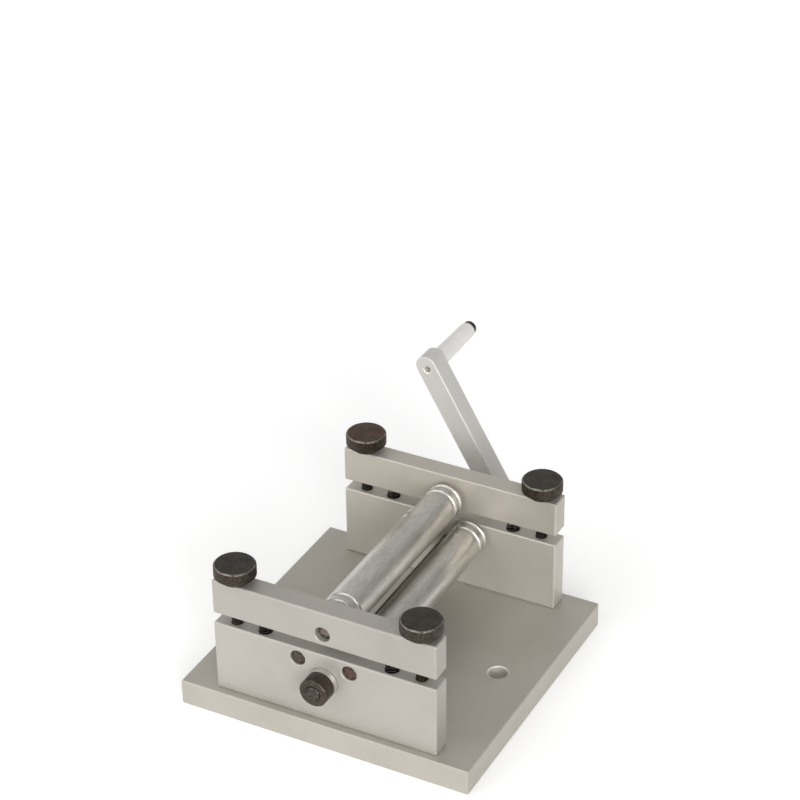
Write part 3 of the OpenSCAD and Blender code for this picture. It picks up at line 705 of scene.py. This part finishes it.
def make_lamp(name, place, strength, angle):
    """A far soft lamp, as wide as its angle, that shines from its place on the machine."""
    lamp = bpy.data.lights.new(name, "SUN")
    lamp.energy = strength
    lamp.angle = angle
    holder = bpy.data.objects.new(name, lamp)
    holder.location = place
    holder.rotation_euler = (LAMP_AIM - Vector(place)).to_track_quat("-Z", "Y").to_euler()
    scene.collection.objects.link(holder)


def make_studio():
    """Surroundings, floor and lamps."""
    scene.view_settings.view_transform = "Standard"
    make_world()
    make_floor()
    make_lamp("key", KEY_PLACE, KEY_STRENGTH, KEY_ANGLE)
    make_lamp("side", SIDE_PLACE, SIDE_STRENGTH, SIDE_ANGLE)


def make_thumb_screws():
    """Four knurled screws from one mesh, each at its own bar."""
    bar_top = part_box("front_upper_bar")[1].z
    low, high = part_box("front_left_thumb_screw")
    seat = bar_top + KNOB_SEAT_GAP
    mesh = thumb_screw_mesh(high.x - low.x, high.z - seat, seat - low.z)
    for end in ("front", "rear"):
        for side in ("left", "right"):
            name = end + "_" + side
            low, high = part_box(name + "_thumb_screw")
            middle = (low + high) / 2
            tint = KNOB_BROWN if name == "rear_left" else KNOB_BLACK
            material = knob_steel(name + "_knob_steel", tint, (high.x - low.x) / 2)
            piece = link(name + "_knurled_screw", mesh.copy(), material)
            piece.location = (middle.x, middle.y, seat)
            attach(piece, name + "_screw")
            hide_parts(name + "_thumb_screw")


def make_springs():
    """Four lift springs between their block and bar."""
    material = spring_steel("spring_steel")
    for end in ("front", "rear"):
        for side in ("left", "right"):
            node = end + "_" + side + "_spring"
            low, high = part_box(node)
            base = Vector(((low.x + high.x) / 2, (low.y + high.y) / 2, low.z))
            mesh = spring_mesh(node + "_coil", base, high.x - low.x, high.z - low.z)
            piece = link(node + "_coil", mesh, material)
            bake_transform(piece)
            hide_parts(node)


def axis_of(node):
    """A point on a turned node's axis along Y."""
    low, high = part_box(node)
    return ((low.x + high.x) / 2, 0, (low.z + high.z) / 2)


def dress_plates():
    """Gives the plates and the arm their aluminium, with painted light in the bench holes and in the grip
    bolt's hole.
    """
    holes = next(mount for mount in frame["record"]["mounts"] if mount["name"] == "bench_holes")
    reach = holes["dims"]["spacing_x_mm"] / 2 * MM
    hole_r = holes["dims"]["hole_r_mm"] * MM
    bores = {"base_plate": [("Z", (-reach, 0, 0), hole_r), ("Z", (reach, 0, 0), hole_r)],
             "crank_arm": [("Y", axis_of("crank_grip"), BOLT_R)]}
    for node, plate in PLATES.items():
        dress(aluminium(**plate, bores=bores.get(node, ())), node)


def dress_steel():
    """Gives the rollers, the drive and the fasteners their steel, and the grip its plastic."""
    for roll in ("upper", "left", "right"):
        axis = axis_of(roll + "_roller")
        dress(roller_steel(roll + "_roller_steel", axis), roll + "_roller")
        axle_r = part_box(roll + "_axle")[1].x - axis[0]
        # Painted shade at the rim of the axle's recessed end
        painted_shade = [share * axle_r for share in AXLE_PAINTED_SHADE]
        dress(black_oxide(roll + "_axle_steel", axis, AXLE_TINTS[roll], painted_shade), roll + "_axle")
    drive = axis_of("drive_shaft")
    shaft_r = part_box("drive_shaft")[1].x - drive[0]
    # Painted shade round the shaft end in the collar
    painted_shade = (shaft_r + COLLAR_PAINTED_SHADE, shaft_r)
    dress(black_oxide("collar_black_steel", drive, COLLAR_TINT, painted_shade), "shaft_collar")
    dress(black_oxide("drive_black_steel", drive, COLLAR_TINT), "collar_grub",
          "pinion_grub", "left_gear_grub", "right_gear_grub", "arm_grub",
          "front_block_screws", "rear_block_screws")
    dress(drive_steel("drive_steel", drive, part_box("front_lower_block")[1].y), "drive_shaft")
    dress(washer_steel("washer_steel"), "front_washers", "rear_washer")
    dress(gear_steel("gear_steel"), "left_gear", "right_gear", "drive_pinion")
    dress(grip_plastic("grip_plastic", axis_of("crank_grip")), "crank_grip")
    dress(bolt_black("bolt_black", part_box("crank_arm")[1].y), "grip_bolt")


make_camera()
make_studio()
dress_plates()
dress_steel()
make_thumb_screws()
make_springs()
